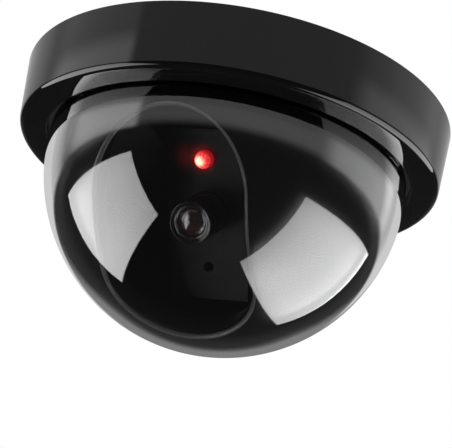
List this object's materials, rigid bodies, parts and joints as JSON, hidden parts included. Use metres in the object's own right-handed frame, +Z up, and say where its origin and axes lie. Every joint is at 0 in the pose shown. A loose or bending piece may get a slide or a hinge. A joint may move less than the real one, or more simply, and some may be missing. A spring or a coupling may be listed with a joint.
{
  "type": "dome cctv camera",
  "caption": "Ceiling dome camera: black trim ring, clear dome, black liner with an oblong window, lens and red lamp on a tilted face, battery tray inside.",
  "frame": {"origin": "centre of the mounting plate's ceiling face", "axes": "+Z up into the ceiling, -Y the side that the lens faces, +X to the right when looking along +Y"},
  "size_m": [0.12, 0.12, 0.0703],
  "materials": {
    "black_gloss": "gloss",
    "clear_acrylic": "polished, clear",
    "black_matte": "satin",
    "liner_black": "semi-gloss",
    "bracket_black": "fine spark texture",
    "barrel_black": "semi-gloss",
    "bright_chrome": "polished",
    "lens_glass": "coated glass",
    "iris_brown": "semi-gloss",
    "lamp_red": "clear red epoxy",
    "board_green": "solder mask",
    "can_aluminium": "satin",
    "cell_jacket": "printed film jacket",
    "switch_black": "satin",
    "steel": "zinc plated",
    "wire_red": "insulation",
    "wire_black": "insulation"
  },
  "bodies": {
    "mount": {"mount_plate": "black_matte"},
    "cover": {"trim_ring": "black_gloss", "dome_bubble": "clear_acrylic", "retainer_ring": "black_matte", "retainer_screws": "steel"},
    "turret": {"liner": "liner_black", "chassis_plate": "black_matte", "chassis_screws": "steel", "camera_bracket": "bracket_black", "bracket_screws": "steel", "lens_barrel": "barrel_black", "lens_bezel": "bright_chrome", "front_glass": "lens_glass", "iris_cup": "iris_brown", "rear_glass": "lens_glass", "lens_nut": "barrel_black", "lamp_bulb": "lamp_red", "lamp_die": "bright_chrome", "lamp_leads": "steel", "blinker_board": "board_green", "board_screws": "steel", "board_chip": "black_matte", "board_capacitor": "can_aluminium", "board_resistors": "black_matte", "cell_holder": "black_matte", "battery_cells": "cell_jacket", "cell_contacts": "steel", "cell_springs": "steel", "switch_body": "switch_black", "switch_pins": "steel", "wire_red": "wire_red", "wire_switch": "wire_red", "wire_black": "wire_black"},
    "knob": {"switch_knob": "switch_black"}
  },
  "joints": [
    {"name": "cover_twist", "type": "hinge", "parent": "mount", "child": "cover", "pos_m": [0, 0, -0.0048], "axis": [0, 0, 1], "range_deg": [0, 24]},
    {"name": "turret_pan", "type": "hinge", "parent": "cover", "child": "turret", "pos_m": [0, 0, -0.0132], "axis": [0, 0, 1], "continuous": true},
    {"name": "switch_slide", "type": "slide", "parent": "turret", "child": "knob", "axis": [1, 0, 0], "range_m": [0, 0.002]}
  ]
}
